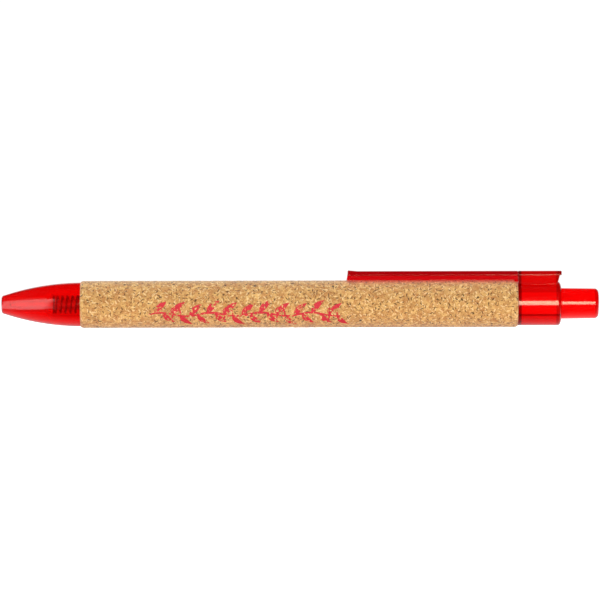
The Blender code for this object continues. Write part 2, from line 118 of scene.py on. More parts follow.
# Rear cap, with the block that carries the clip
CAP_FRONT = BARREL_REAR + SEAM_GAP
CAP_REAR = CAP_FRONT + 10 * MM
CAP_RADIUS = 5.14 * MM
CAP_DOME_LENGTH = 0.8 * MM
CAP_DOME_RADIUS = 3.85 * MM
CAP_SPIGOT_FRONT = 105 * MM
CAP_SPIGOT_LEAD = 0.2 * MM
CAP_BORE = 3.75 * MM
CAP_BORE_FRONT = 112.3 * MM
ROTOR_BORE = 4.15 * MM
GROOVE_FRONT = 111.3 * MM
GROOVE_REACH = (3 * MM, 4.0 * MM)
GROOVE_WIDTH = 2.2 * MM
BLOCK_BOTTOM = 4.45 * MM
BLOCK_BOTTOM_END = 130.3 * MM
BLOCK_TOP_END = 131.0 * MM
BLOCK_WIDTH = 4.7 * MM
PLATE_END = 131.3 * MM
PLATE_WIDTH = 5.0 * MM
PLATE_THICKNESS = 1.05 * MM
PLATE_OVERLAP = 0.5 * MM
SLOT_END = 128.7 * MM
SLOT_HEIGHTS = (5.25 * MM, 6.5 * MM)
SLOT_WIDTH = 3.0 * MM

# Clip.  Its sides and the block's lean outwards by the draft angle.
DRAFT = 15
CLIP_SEAM = BARREL_REAR - 0.08 * MM
CLIP_GAP = 0.03 * MM
CLIP_TIP = 80.9 * MM
CLIP_LOW = 5.5 * MM
CLIP_WALL = 0.8 * MM
CLIP_CLEARANCE = 0.16 * MM
CLIP_BEND = 12 * MM
CLIP_BEND_STEPS = 12
TIP_RISE = 0.2 * MM
TIP_RISE_LENGTH = 2.5 * MM
HEEL_LENGTHS = (1.0 * MM, 0.6 * MM)
HEEL_DROP = 0.4 * MM
TONGUE_LENGTH = 6.8 * MM
TONGUE_HEIGHTS = (5.8 * MM, 6.4 * MM)
TONGUE_WIDTH = 2.8 * MM
CUTTER_OVERSHOOT = 1 * MM

# Push button, one piece with the plunger and its crown
BUTTON_RADIUS = 3.62 * MM
BUTTON_END_RADIUS = 3.52 * MM
BUTTON_EDGE = 1.0 * MM
BUTTON_FLAT_RADIUS = 1.2 * MM
PLUNGER_RADIUS = 3.6 * MM
PLUNGER_FRONT = 118 * MM
PLUNGER_BORE = 2.45 * MM
PLUNGER_BORE_END = 133.9 * MM
LUG_REACH = (3 * MM, 3.93 * MM)
LUG_WIDTH = 2.05 * MM
LUG_FRONT = 122 * MM
LUG_REAR = 129.9 * MM
CROWN_NOTCHES = 8
CROWN_NOTCH_DEPTH = 1.2 * MM
CROWN_BAR = 4 * MM
CROWN_TURN = 0.25

# Return spring
WIRE_RADIUS = 0.2 * MM
COIL_RADIUS = 2.0 * MM
PITCH = 1.13 * MM
CLOSED_PITCH = 0.46 * MM
CLOSED_TURNS = 1.5
SPRING_FRONT = SPRING_CHAMBER_FRONT
SPRING_REAR = 30.05 * MM
STEPS_PER_TURN = 36
WIRE_SIDES = 14

# Refill
REFILL_FRONT = 19.0 * MM
REFILL_REAR = 109.2 * MM
REFILL_RADIUS = 1.5 * MM
REFILL_BORE = 0.95 * MM
INK_RADIUS = 0.9 * MM
INK_FRONT = 23.05 * MM
INK_REAR = 90 * MM
GREASE_LENGTH = 2.5 * MM
EAR_REACH = (1.2 * MM, 2.1 * MM)
EAR_WIDTH = 0.9 * MM
EAR_FRONT = 30.35 * MM
EAR_LENGTH = 1 * MM
POINT_FRONT = 2.46 * MM
POINT_FRONT_RADIUS = 0.64 * MM
POINT_CONE_END = 4.6 * MM
POINT_RADIUS = 1.15 * MM
POINT_SHANK_END = 23.0 * MM
POINT_BORE = 0.3 * MM
BALL_STATION = 2.7 * MM
BALL_RADIUS = 0.5 * MM
BALL_SEAT = 0.54 * MM

# Cork wrap
CORK_REAR = BARREL_REAR - 0.12 * MM
CORK_THICKNESS = 0.49 * MM
CORK_END_LENGTH = 0.9 * MM
CORK_END_DROP = 0.42 * MM
CORK_SPACING = 0.2 * MM
CORK_SIDES = 176

# Print on the cork, placed by station and by distance round the barrel
PRINT_FRONT = 34.6 * MM
PRINT_REAR = 79.4 * MM
PRINT_HEIGHT = -2.5 * MM
PRINT_FILM = 0.02 * MM
STEM_WAVE = 11.7 * MM
STEM_SWING = 0.45 * MM
LEAF_PAIRS = 11
TENDRIL_WIDTH = 0.36 * MM

# Camera
PICTURE_WIDTH = 140.75 * MM
LENS = 400
SENSOR = 36
CAMERA_DISTANCE = PICTURE_WIDTH * LENS / SENSOR
CAMERA_STATION = PEN_LENGTH / 2 - 0.01 * MM
CAMERA_LIFT = 0.94 * MM
CAMERA_ROLL = 0.13

# How bright the surroundings look: to the camera, through clear plastic, in matt light and mirrored
BACKDROP = 1.05
FRONT_LIGHT = 0.3
BACK_LIGHT = 1.15
SKY_FILL = 0.75
SKY_GLOSS = 0.01
FLOOR_GLOSS_FRONT = 0.01
FLOOR_GLOSS_BACK = 1.0
FLOOR_GLOW = 0.6
FLOOR_REACH = 6.0
FLOOR_GAP = 0.02 * MM

# Softboxes, and cards of painted light on the floor that carry on two of them below the horizon
STRIP_LIGHT = 14.0
STRIP_COLOUR = (1.0, 0.9, 0.6)
NOSE_LIGHT = 3.0
NOSE_COLOUR = (1.0, 0.95, 0.9)
FRONT_FILL = 1.6
TOP_LIGHT = 2.6
CARD_FAR_EDGE = (-450 * MM, -400 * MM)
STRIP_CARD_LEFT = (40 * MM, 46 * MM)
STRIP_CARD_RIGHT = (95 * MM, 100 * MM)
STRIP_CARD_NEAR = (-70 * MM, -30 * MM)
NOSE_CARD_SIDE_SLOPE = 0.31
NOSE_CARD_SIDE = (-62 * MM, -54 * MM)
NOSE_CARD_NEAR_SLOPE = 0.83
NOSE_CARD_NEAR = (-66.5 * MM, -64.5 * MM)

# Colours
NOSE_RED = (0.80, 0.0, 0.0)
BORE_RED = (0.95, 0.02, 0.02)
CAP_RED = (0.87, 0.0, 0.0)
CLIP_RED = (0.58, 0.0, 0.003)
LAMP_TINT = (0.92, 0.35, 0.33)
CORK_DARK = (0.40, 0.195, 0.054)
CORK_LIGHT = (0.62, 0.362, 0.116)
CORK_BROWN = (0.40, 0.145, 0.034)
CORK_PALE = (0.84, 0.62, 0.31)
CORK_BARK = (0.25, 0.085, 0.018)
CORK_SPECK = (0.062, 0.024, 0.006)
INK_DARK = (0.42, 0.010, 0.022)
INK_LIGHT = (0.60, 0.028, 0.042)
KRAFT_DARK = (0.30, 0.18, 0.085)
KRAFT_LIGHT = (0.44, 0.29, 0.15)
KRAFT_SEAM = (0.16, 0.09, 0.04)
KRAFT_PITCH = 14 * MM

# Painted shade, standing in for thick walls and inner parts seen through the plastic: darker bands
# painted into its colour, as (axis, low, high, shade): along the stations (axis 0) or up the heights
# (axis 2).  They end softly, over twice the fade.
FADE = 0.12 * MM
OUTSIDE = 9 * MM
CAP_PAINTED_SHADE = (
    (0, CAP_FRONT - MM, CAP_FRONT + 0.65 * MM, 0.35),
    (0, CAP_REAR - 1.2 * MM, CAP_REAR + MM, 0.62),
    (2, 2.6 * MM, OUTSIDE, 0.74),
    (2, CLIP_TOP - 1.1 * MM, OUTSIDE, 0.72),
    (2, -3.0 * MM, -2.45 * MM, 0.42),
    (2, -OUTSIDE, -3.1 * MM, 0.85),
)
# Painted shade: a darker band along the top plate of the clip
CLIP_PAINTED_SHADE = ((2, CLIP_TOP - 1.1 * MM, OUTSIDE, 0.62),)
# Painted shade: a darker band at the rear end of the button
BUTTON_PAINTED_SHADE = ((0, PEN_LENGTH - 0.9 * MM, PEN_LENGTH + MM, 0.6),)


# ---------------------------------------------------------------- shapes


def new_object(name, mesh):
    obj = bpy.data.objects.new(name, mesh)
    bpy.context.scene.collection.objects.link(obj)
    return obj


def smooth(mesh, angle=35):
    mesh.shade_smooth()
    mesh.set_sharp_from_angle(angle=radians(angle))


def finished(builder, name, angle=None):
    """Turn a bmesh in the pen's frame into an object, shaded smoothly up to an angle in degrees."""
    mesh = bpy.data.meshes.new(name)
    builder.to_mesh(mesh)
    builder.free()
    mesh.transform(PEN)
    if angle:
        smooth(mesh, angle)
    return new_object(name, mesh)


def filleted(corners, steps=4):
    """Round the corners of an outline, given as (station, radius) or (station, radius, fillet)."""
    points = []
    count = len(corners)
    for index, corner in enumerate(corners):
        here = Vector(corner[:2])
        size = corner[2] if len(corner) > 2 else 0
        if size <= 0:
            points.append(tuple(here))
            continue
        before = Vector(corners[index - 1][:2]) - here
        after = Vector(corners[(index + 1) % count][:2]) - here
        reach = min(size, before.length * FILLET_SHARE, after.length * FILLET_SHARE)
        first = here + before.normalized() * reach
        last = here + after.normalized() * reach
        for step in range(steps + 1):
            share = step / steps
            point = first * (1 - share) ** 2 + here * 2 * share * (1 - share) + last * share**2
            points.append(tuple(point))
    return points


def arc(station, radius, size, start, end, steps):
    """Points of an arc in the (station, radius) plane, its angles in degrees from the rearward way."""
    along, out = size
    angles = [radians(start + (end - start) * step / steps) for step in range(steps + 1)]
    return [(station + along * cos(angle), radius + out * sin(angle)) for angle in angles]


def lathe(name, outline, sides=SIDES, ring=True):
    """Turn an outline of (station, radius) points round the axis, outside from front to rear.

    A ring's outline closes on itself.  Any other starts and ends on the axis.
    """
    builder = bmesh.new()
    rows = []
    for station, radius in outline:
        if radius <= TINY:
            rows.append([builder.verts.new((station, 0, 0))])
            continue
        row = []
        for index in range(sides):
            angle = 2 * pi * (index + 0.5) / sides
            row.append(builder.verts.new((station, radius * sin(angle), radius * cos(angle))))
        rows.append(row)
    pairs = list(zip(rows, rows[1:]))
    if ring:
        pairs.append((rows[-1], rows[0]))
    for first, second in pairs:
        for index in range(sides):
            after = (index + 1) % sides
            corners = [first[index % len(first)], first[after % len(first)]]
            corners += [second[after % len(second)], second[index % len(second)]]
            unique = list(dict.fromkeys(corners))
            if len(unique) > 2:
                builder.faces.new(unique)
    bmesh.ops.recalc_face_normals(builder, faces=builder.faces)
    return finished(builder, name, 35)


def plate(name, outline, width, edge=0.0, segments=3):
    """A plate across the pen from a side outline of (station, height) points, with rounded edges."""
    builder = bmesh.new()
    near = [builder.verts.new((station, -width / 2, height)) for station, height in outline]
    far = [builder.verts.new((station, width / 2, height)) for station, height in outline]
    builder.faces.new(near)
    builder.faces.new(list(reversed(far)))
    for index in range(len(outline)):
        after = (index + 1) % len(outline)
        builder.faces.new([near[after], near[index], far[index], far[after]])
    bmesh.ops.recalc_face_normals(builder, faces=builder.faces)
    if edge:
        edges = list(builder.edges)
        bmesh.ops.bevel(builder, geom=edges, offset=edge, segments=segments, profile=0.5, affect="EDGES")
    return finished(builder, name)


def draft(obj, top, angle=DRAFT):
    """Widen a plate downwards from a height, by that many degrees a side."""
    half = max(vertex.co.y for vertex in obj.data.vertices)
    for vertex in obj.data.vertices:
        drop = max(AXIS_Z + top - vertex.co.z, 0)
        vertex.co.y *= 1 + drop * tan(radians(angle)) / half
    return obj


def boxes_round_axis(name, count, reach, width, front, rear):
    """Boxes spaced evenly round the axis, each with that reach of radii and those end stations."""
    builder = bmesh.new()
    inner, outer = reach
    middle = Vector(((front + rear) / 2, 0, (inner + outer) / 2))
    size = Matrix.Diagonal((rear - front, width, outer - inner, 1))
    for index in range(count):
        turn = Matrix.Rotation(2 * pi * index / count, 4, "X")
        bmesh.ops.create_cube(builder, size=1, matrix=turn @ Matrix.Translation(middle) @ size)
    return finished(builder, name)


def crown_notches():
    """Square bars on edge, laid out like spokes, that cut V notches into the plunger's front end."""
    builder = bmesh.new()
    side = CROWN_NOTCH_DEPTH * sqrt(2)
    bar = Matrix.Rotation(pi / 4, 4, "Z") @ Matrix.Diagonal((side, side, CROWN_BAR, 1))
    for index in range(CROWN_NOTCHES):
        spoke = Matrix.Rotation(2 * pi * (index + CROWN_TURN) / CROWN_NOTCHES, 4, "X")
        place = spoke @ Matrix.Translation((PLUNGER_FRONT, 0, CROWN_BAR)) @ bar
        bmesh.ops.create_cube(builder, size=1, matrix=place)
    return finished(builder, "crown")


def apply_modifiers(obj):
    """Put the evaluated mesh in the place of an object's own mesh."""
    bpy.context.view_layer.update()
    graph = bpy.context.evaluated_depsgraph_get()
    mesh = bpy.data.meshes.new_from_object(obj.evaluated_get(graph))
    obj.modifiers.clear()
    old = obj.data
    obj.data = mesh
    bpy.data.meshes.remove(old)
    mesh.name = obj.name


def even_normals(obj):
    """Shade the large faces flat up to their rounded edges."""
    weighted = obj.modifiers.new("even", "WEIGHTED_NORMAL")
    weighted.keep_sharp = True
    weighted.weight = 100
    apply_modifiers(obj)


def combine(obj, tool, operation, crossing=False):
    """Join or cut with an exact Boolean, and remove the tool; crossing is for one that crosses itself."""
    boolean = obj.modifiers.new("combine", "BOOLEAN")
    boolean.use_self = crossing
    boolean.object = tool
    boolean.operation = operation
    boolean.solver = "EXACT"
    apply_modifiers(obj)
    bpy.data.objects.remove(tool)
    smooth(obj.data)


def cut_across(mesh, stations):
    """Add edge loops across the mesh at those stations."""
    builder = bmesh.new()
    builder.from_mesh(mesh)
    for station in stations:
        geometry = list(builder.verts) + list(builder.edges) + list(builder.faces)
        point = (NOSE_FRONT + station, 0, 0)
        bmesh.ops.bisect_plane(builder, geom=geometry, dist=TINY, plane_co=point, plane_no=(1, 0, 0))
    builder.to_mesh(mesh)
    builder.free()


# ---------------------------------------------------------------- materials


class Tree:
    """Short hand for building a node tree."""

    def __init__(self, tree):
        self.tree = tree

    def add(self, kind, settings=None):
        node = self.tree.nodes.new(kind)
        for key, value in (settings or {}).items():
            setattr(node, key, value)
        return node

    def put(self, socket, value):
        """Link a socket to another, or give it a value."""
        if isinstance(value, bpy.types.NodeSocket):
            self.tree.links.new(value, socket)
        else:
            socket.default_value = value

    def fill(self, sockets, values):
        for socket, value in zip(sockets, values):
            self.put(socket, value)

    def math(self, operation, first, second=0.0):
        node = self.add("ShaderNodeMath", {"operation": operation})
        self.fill(node.inputs, (first, second))
        return node.outputs[0]

    def vector(self, operation, first, second=(0, 0, 0)):
        node = self.add("ShaderNodeVectorMath", {"operation": operation})
        self.fill(node.inputs, (first, second))
        return node.outputs["Value" if operation == "LENGTH" else "Vector"]

    def ramp(self, value, low, high, first=0.0, last=1.0):
        """Go smoothly from first to last as a value goes from low to high."""
        node = self.add("ShaderNodeMapRange", {"interpolation_type": "SMOOTHSTEP"})
        self.fill(node.inputs, (value, low, high, first, last))
        return node.outputs[0]

    def fall(self, value, edge):
        return self.ramp(value, *edge, 1.0, 0.0)

    def product(self, *values):
        result = values[0]
        for value in values[1:]:
            result = self.math("MULTIPLY", result, value)
        return result

    def blend(self, share, first, second):
        node = self.add("ShaderNodeMix", {"data_type": "FLOAT"})
        self.fill((node.inputs[0], node.inputs[2], node.inputs[3]), (share, first, second))
        return node.outputs[0]

    def mix(self, share, first, second):
        """Mix two colours, each a socket or an RGB triple."""
        node = self.add("ShaderNodeMix", {"data_type": "RGBA"})
        self.put(node.inputs[0], share)
        for socket, colour in zip(node.inputs[6:8], (first, second)):
            self.put(socket, colour if isinstance(colour, bpy.types.NodeSocket) else (*colour, 1))
        return node.outputs[2]

    def noise(self, vector, scale, detail=3.0, roughness=0.5):
        node = self.add("ShaderNodeTexNoise")
        self.put(node.inputs["Vector"], vector)
        node.inputs["Scale"].default_value = scale
        node.inputs["Detail"].default_value = detail
        node.inputs["Roughness"].default_value = roughness
        return node

    def bump(self, height, distance, strength=1.0):
        node = self.add("ShaderNodeBump")
        self.put(node.inputs["Height"], height)
        node.inputs["Distance"].default_value = distance
        node.inputs["Strength"].default_value = strength
        return node.outputs[0]

    def place(self):
        return self.add("ShaderNodeTexCoord").outputs["Object"]

    def split(self, vector):
        node = self.add("ShaderNodeSeparateXYZ")
        self.put(node.inputs[0], vector)
        return node.outputs

    def switch(self, share, first, second, output):
        """Send a mix of two shaders to the output."""
        node = self.add("ShaderNodeMixShader")
        self.fill(node.inputs, (share, first, second))
        self.put(output, node.outputs[0])


class Nodes(Tree):
    """A material and its node tree."""

    def __init__(self, name):
        self.material = bpy.data.materials.new(name)
        self.material.use_nodes = True
        super().__init__(self.material.node_tree)
        self.shader = self.tree.nodes["Principled BSDF"]
        self.output = self.tree.nodes["Material Output"].inputs[0]

    def set(self, **values):
        for key, value in values.items():
            self.put(self.shader.inputs[key.replace("_", " ")], value)

    def let_lamps_through(self, tint):
        """Let lamps shine through see-through plastic, tinted, on to what lies behind it."""
        ray = self.add("ShaderNodeLightPath").outputs
        clear = self.add("ShaderNodeBsdfTransparent")
        clear.inputs["Color"].default_value = (*tint, 1)
        passing = self.math("MAXIMUM", ray["Is Shadow Ray"], ray["Is Diffuse Ray"])
        self.switch(passing, self.shader.outputs[0], clear.outputs[0], self.output)


def scaled(colour, share):
    return tuple(channel * share for channel in colour)


def red_plastic(name, colour, roughness, frost=0.04, clear=1.0, shine=0.5, worn=0.0, painted_shade=()):
    """See-through red plastic with a faint moulding texture.

    worn raises the roughness towards the nose.  painted_shade holds darker bands of painted shade, laid out
    as CAP_PAINTED_SHADE is.
    """
    n = Nodes(name)
    place = n.place()
    grain = n.noise(place, 2200, 2.0).outputs["Fac"]
    smear = n.noise(n.vector("MULTIPLY", place, (60, 400, 400)), 1.0, 4.0).outputs["Fac"]
    rough = n.ramp(smear, 0.35, 0.7, roughness, roughness + frost)
    axes = n.split(place)
    if worn:
        wear = n.ramp(axes[0], NOSE_FRONT, NOSE_FRONT + BARREL_FRONT, worn, 0.0)
        rough = n.math("ADD", rough, wear)
    tint = n.mix(n.ramp(smear, 0.3, 0.75), colour, scaled(colour, 0.95))
    # Painted shade: darken the colour towards black inside each band
    for axis, low, high, shade in painted_shade:
        origin = AXIS_Z if axis else NOSE_FRONT
        above = n.ramp(axes[axis], origin + low - FADE, origin + low + FADE, 0.0, 1 - shade)
        below = n.fall(axes[axis], (origin + high - FADE, origin + high + FADE))
        tint = n.mix(n.product(above, below), tint, (0, 0, 0))
    n.set(Base_Color=tint, Roughness=rough, Transmission_Weight=clear)
    n.set(Normal=n.bump(grain, 0.003 * MM, 0.4))
    n.set(IOR=1.5, Specular_IOR_Level=shine)
    n.let_lamps_through(LAMP_TINT)
    return n.material


def turn_round_axis(n, axes):
    """The angle of a place round the pen's axis, zero underneath."""
    return n.math("ARCTAN2", axes[1], n.math("SUBTRACT", AXIS_Z, axes[2]))


def flat_place(n):
    """Coordinates on the barrel's unrolled surface, in millimetres; the joint is under the clip."""
    axes = n.split(n.place())
    flat = n.add("ShaderNodeCombineXYZ")
    n.put(flat.inputs[0], n.math("DIVIDE", axes[0], MM))
    n.put(flat.inputs[1], n.math("MULTIPLY", turn_round_axis(n, axes), AXIS_HEIGHT / MM))
    return flat.outputs[0]


def flecks(n, flat, cell, size, share, offset, soft, wobble=0.9):
    """Mask of long flecks, one in some of the cells, each lying its own way.

    The cell, the fleck's half size and the offset are in millimetres.  soft is how
    gradually a fleck ends, and wobble is how ragged it is.
    """
    moved = n.vector("ADD", flat, (*offset, 0))
    cells = n.add("ShaderNodeTexVoronoi", {"voronoi_dimensions": "2D"})
    n.put(cells.inputs["Vector"], moved)
    cells.inputs["Scale"].default_value = 1 / cell
    cells.inputs["Randomness"].default_value = 0.85
    pick = n.add("ShaderNodeSeparateColor")
    n.put(pick.inputs[0], cells.outputs["Color"])
    turn = n.add("ShaderNodeVectorRotate", {"rotation_type": "Z_AXIS"})
    n.put(turn.inputs["Vector"], n.vector("SUBTRACT", moved, cells.outputs["Position"]))
    n.put(turn.inputs["Angle"], n.math("MULTIPLY", pick.outputs[0], 2 * pi))
    length, width = size
    reach = n.vector("LENGTH", n.vector("MULTIPLY", turn.outputs[0], (1 / length, 1 / width, 0)))
    ragged = n.noise(moved, 3.2, 2.0).outputs["Fac"]
    reach = n.math("ADD", reach, n.math("MULTIPLY", n.math("SUBTRACT", ragged, 0.5), wobble))
    reach = n.math("DIVIDE", reach, n.math("ADD", 0.6, n.math("MULTIPLY", pick.outputs[1], 0.5)))
    there = n.math("LESS_THAN", pick.outputs[2], share)
    return n.product(n.fall(reach, (1 - soft, 1 + soft)), there)


def cork_material(name):
    """Pressed cork: tan granules of mixed tones, pale flecks and dark bark specks."""
    n = Nodes(name)
    flat = flat_place(n)
    warp = n.noise(flat, 1.6, 2.0).outputs["Color"]
    shift = n.vector("MULTIPLY", n.vector("SUBTRACT", warp, (0.5, 0.5, 0.5)), (1.1, 1.1, 0))
    granule = n.add("ShaderNodeTexVoronoi", {"voronoi_dimensions": "2D"})
    n.put(granule.inputs["Vector"], n.vector("ADD", flat, shift))
    granule.inputs["Scale"].default_value = 1 / 0.7
    pick = n.add("ShaderNodeSeparateColor")
    n.put(pick.inputs[0], granule.outputs["Color"])
    fine = n.noise(flat, 4.5, 3.0, 0.65).outputs["Fac"]
    broad = n.noise(flat, 0.8, 3.0).outputs["Fac"]
    tone = n.math("ADD", n.math("MULTIPLY", pick.outputs[0], 0.45), n.math("MULTIPLY", fine, 0.55))
    colour = n.mix(n.ramp(tone, 0.22, 0.78), CORK_DARK, CORK_LIGHT)
    colour = n.mix(n.ramp(broad, 0.45, 0.68, 0.0, 0.45), colour, CORK_BROWN)

    for strength, tint, cell, size, share, offset, soft in (
        (0.42, CORK_BROWN, 1.8, (0.8, 0.42), 0.6, (9.2, 4.4), 0.5),
        (0.55, CORK_PALE, 1.1, (0.5, 0.15), 0.6, (3.1, 7.7), 0.35),
        (0.45, CORK_PALE, 0.75, (0.32, 0.08), 0.6, (6.3, 2.7), 0.4),
        (0.75, CORK_BARK, 0.75, (0.34, 0.10), 0.65, (4.3, 6.1), 0.35),
    ):
        mask = flecks(n, flat, cell, size, share, offset, soft)
        colour = n.mix(n.math("MULTIPLY", mask, strength), colour, tint)

    dashes = n.math("MULTIPLY", flecks(n, flat, 1.1, (0.40, 0.12), 0.55, (1.7, 2.9), 0.3), 0.92)
    dots = n.math("MULTIPLY", flecks(n, flat, 0.75, (0.14, 0.09), 0.45, (5.9, 0.7), 0.3), 0.8)
    marks = n.math("MULTIPLY", flecks(n, flat, 4.6, (0.34, 0.26), 0.45, (2.2, 8.1), 0.3), 0.9)
    bark = n.math("MAXIMUM", n.math("MAXIMUM", dashes, dots), marks)
    colour = n.mix(bark, colour, CORK_SPECK)
    height = n.math("ADD", n.math("MULTIPLY", fine, 0.6), n.math("MULTIPLY", tone, 0.5))
    height = n.math("SUBTRACT", height, n.math("MULTIPLY", bark, 0.7))
    n.set(Base_Color=colour, Roughness=n.ramp(fine, 0.3, 0.7, 0.78, 0.95))
    n.set(Normal=n.bump(height, 0.08 * MM, 0.6))
    n.set(Specular_IOR_Level=0.25, Sheen_Weight=0.4)
    return n.material


def print_ink(name):
    """Red ink that lets a little of the cork's grain show."""
    n = Nodes(name)
    grain = n.noise(flat_place(n), 3.0, 3.0, 0.6).outputs["Fac"]
    colour = n.mix(n.ramp(grain, 0.3, 0.7), INK_DARK, INK_LIGHT)
    n.set(Base_Color=colour, Roughness=n.ramp(grain, 0.3, 0.7, 0.6, 0.8))
    n.set(Normal=n.bump(grain, 0.03 * MM, 0.5))
    n.set(Specular_IOR_Level=0.25)
    return n.material


def plain(name, colour, roughness, metallic=0.0, spread=0.08, **extra):
    """A plain material with slight colour, roughness and surface variation."""
    n = Nodes(name)
    grain = n.noise(n.place(), 900, 4.0).outputs["Fac"]
    tint = n.mix(n.ramp(grain, 0.3, 0.7), scaled(colour, 1 - spread), colour)
    rough = n.ramp(grain, 0.3, 0.7, roughness, roughness * 1.35)
    n.set(Base_Color=tint, Roughness=rough, Metallic=metallic)
    n.set(Normal=n.bump(grain, 0.004 * MM, 0.5))
    n.set(**extra)
    return n.material


def drawn(name, colour, roughness, stretch, scale, metallic=1.0):
    """Metal with fine turning or drawing marks: noise stretched one way."""
    n = Nodes(name)
    lines = n.noise(n.vector("MULTIPLY", n.place(), stretch), scale, 3.0).outputs["Fac"]
    tint = n.mix(n.ramp(lines, 0.3, 0.7), scaled(colour, 0.8), colour)
    rough = n.ramp(lines, 0.3, 0.7, roughness, roughness + 0.15)
    n.set(Base_Color=tint, Metallic=metallic, Roughness=rough)
    n.set(Normal=n.bump(lines, 0.004 * MM, 0.6))
    return n.material


def kraft(name):
    """Spiral-wound kraft paper: fibres, and a seam line that winds round the tube."""
    n = Nodes(name)
    place = n.place()
    fibre = n.noise(n.vector("MULTIPLY", place, (0.25, 1, 1)), 2500, 5.0).outputs["Fac"]
    axes = n.split(place)
    turns = n.math("DIVIDE", turn_round_axis(n, axes), 2 * pi)
    winding = n.math("FRACT", n.math("ADD", n.math("DIVIDE", axes[0], KRAFT_PITCH), turns))
    seam = n.fall(n.math("ABSOLUTE", n.math("SUBTRACT", winding, 0.5)), (0.004, 0.012))
    colour = n.mix(n.ramp(fibre, 0.3, 0.7), KRAFT_DARK, KRAFT_LIGHT)
    colour = n.mix(n.math("MULTIPLY", seam, 0.6), colour, KRAFT_SEAM)
    n.set(Base_Color=colour, Roughness=n.ramp(fibre, 0.3, 0.7, 0.75, 0.95))
    n.set(Normal=n.bump(n.math("SUBTRACT", fibre, seam), 0.03 * MM, 0.5))
    return n.material


def dress(obj, material, body, inner=None):
    """Give a piece its material, slot and body.

    Faces that look at the pen's axis take the inner material, if there is one.
    """
    obj.data.materials.clear()
    obj.data.materials.append(material)
    if inner:
        obj.data.materials.append(inner)
        for face in obj.data.polygons:
            out = Vector((0, face.center.y, face.center.z - AXIS_Z))
            face.material_index = int(out.dot(face.normal) < -0.3 * out.length)
    if body:
        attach(obj, body)


# ---------------------------------------------------------------- camera, floor and light


def make_camera():
    data = bpy.data.cameras.new("camera")
    data.lens = LENS
    data.sensor_width = SENSOR
    data.clip_start = 0.05
    data.clip_end = 20
    camera = bpy.data.objects.new("camera", data)
    camera.location = (NOSE_FRONT + CAMERA_STATION, -CAMERA_DISTANCE, AXIS_Z + CAMERA_LIFT)
    camera.rotation_euler = (pi / 2, radians(CAMERA_ROLL), 0)
    bpy.context.scene.collection.objects.link(camera)
    bpy.context.scene.camera = camera


def make_world():
    """A white studio that is dark where a glossy surface or the inside of the plastic would mirror it."""
    world = bpy.data.worlds.new("studio")
    bpy.context.scene.world = world
    world.use_nodes = True
    n = Tree(world.node_tree)
    back = world.node_tree.nodes["Background"]
    ray = n.add("ShaderNodeLightPath").outputs
    axes = n.split(n.add("ShaderNodeTexCoord").outputs["Generated"])
    through = n.ramp(axes[1], -0.5, 0.3, FRONT_LIGHT, BACK_LIGHT)
    mirrored = n.ramp(axes[1], 0.7, 1.0, SKY_GLOSS, 1.0)
    fill = n.blend(ray["Is Glossy Ray"], SKY_FILL, mirrored)
    level = n.blend(ray["Is Transmission Ray"], fill, through)
    n.put(back.inputs["Strength"], n.blend(ray["Is Camera Ray"], level, BACKDROP))
    back.inputs["Color"].default_value = (1, 1, 1, 1)


def softbox(name, place, size, radiance, seen_by, colour=(1, 1, 1)):
    """A softbox aimed at the pen, seen only by glossy or only by diffuse rays."""
    data = bpy.data.lights.new(name, "AREA")
    data.shape = "RECTANGLE"
    data.size, data.size_y = size
    data.energy = radiance * size[0] * size[1] * pi
    data.color = colour
    light = bpy.data.objects.new(name, data)
    light.location = place
    light.rotation_euler = Vector(place).to_track_quat("Z", "Y").to_euler()
    light.visible_camera = False
    light.visible_transmission = False
    light.visible_glossy = seen_by == "glossy"
    light.visible_diffuse = seen_by == "diffuse"
    bpy.context.scene.collection.objects.link(light)


def make_floor():
    """A pale floor, which glossy rays see dark in front, white behind, and with the two cards of painted
    light.
    """
    mesh = bpy.data.meshes.new("floor")
    ends = (-FLOOR_REACH, FLOOR_REACH)
    corners = [(ends[0], ends[0], 0), (ends[1], ends[0], 0), (ends[1], ends[1], 0), (ends[0], ends[1], 0)]
    mesh.from_pydata(corners, [], [(0, 1, 2, 3)])
    floor = new_object("floor", mesh)
    floor.location.z = CAD_BOX[0][2] - FLOOR_GAP
    n = Nodes("pale_floor")
    place = n.place()
    cloud = n.noise(place, 3.0, 2.0).outputs["Fac"]
    n.set(Base_Color=n.mix(cloud, (0.86, 0.86, 0.86), (0.88, 0.88, 0.88)), Roughness=0.9)
    n.set(Emission_Color=(1, 1, 1, 1), Emission_Strength=FLOOR_GLOW)

    x, y, _ = n.split(place)
    # Painted light: two glowing cards in the floor, seen only by glossy rays, carry on the strip and nose
    # softboxes
    within = n.ramp(y, *CARD_FAR_EDGE)
    strip_card = n.product(
        n.ramp(x, *STRIP_CARD_LEFT), n.fall(x, STRIP_CARD_RIGHT), n.fall(y, STRIP_CARD_NEAR), within
    )
    side = n.math("SUBTRACT", x, n.math("MULTIPLY", y, NOSE_CARD_SIDE_SLOPE))
    near = n.math("ADD", y, n.math("MULTIPLY", x, NOSE_CARD_NEAR_SLOPE))
    nose_card = n.product(n.fall(side, NOSE_CARD_SIDE), n.fall(near, NOSE_CARD_NEAR), within)
    level = n.ramp(y, -6 * MM, 2 * MM, FLOOR_GLOSS_FRONT, FLOOR_GLOSS_BACK)
    level = n.blend(nose_card, level, NOSE_LIGHT)
    mirrored = n.add("ShaderNodeEmission")
    n.put(mirrored.inputs["Strength"], n.blend(strip_card, level, STRIP_LIGHT))
    n.put(mirrored.inputs["Color"], n.mix(strip_card, (1, 1, 1), STRIP_COLOUR))
    glossy = n.add("ShaderNodeLightPath").outputs["Is Glossy Ray"]
    n.switch(glossy, n.shader.outputs[0], mirrored.outputs[0], n.output)
    mesh.materials.append(n.material)


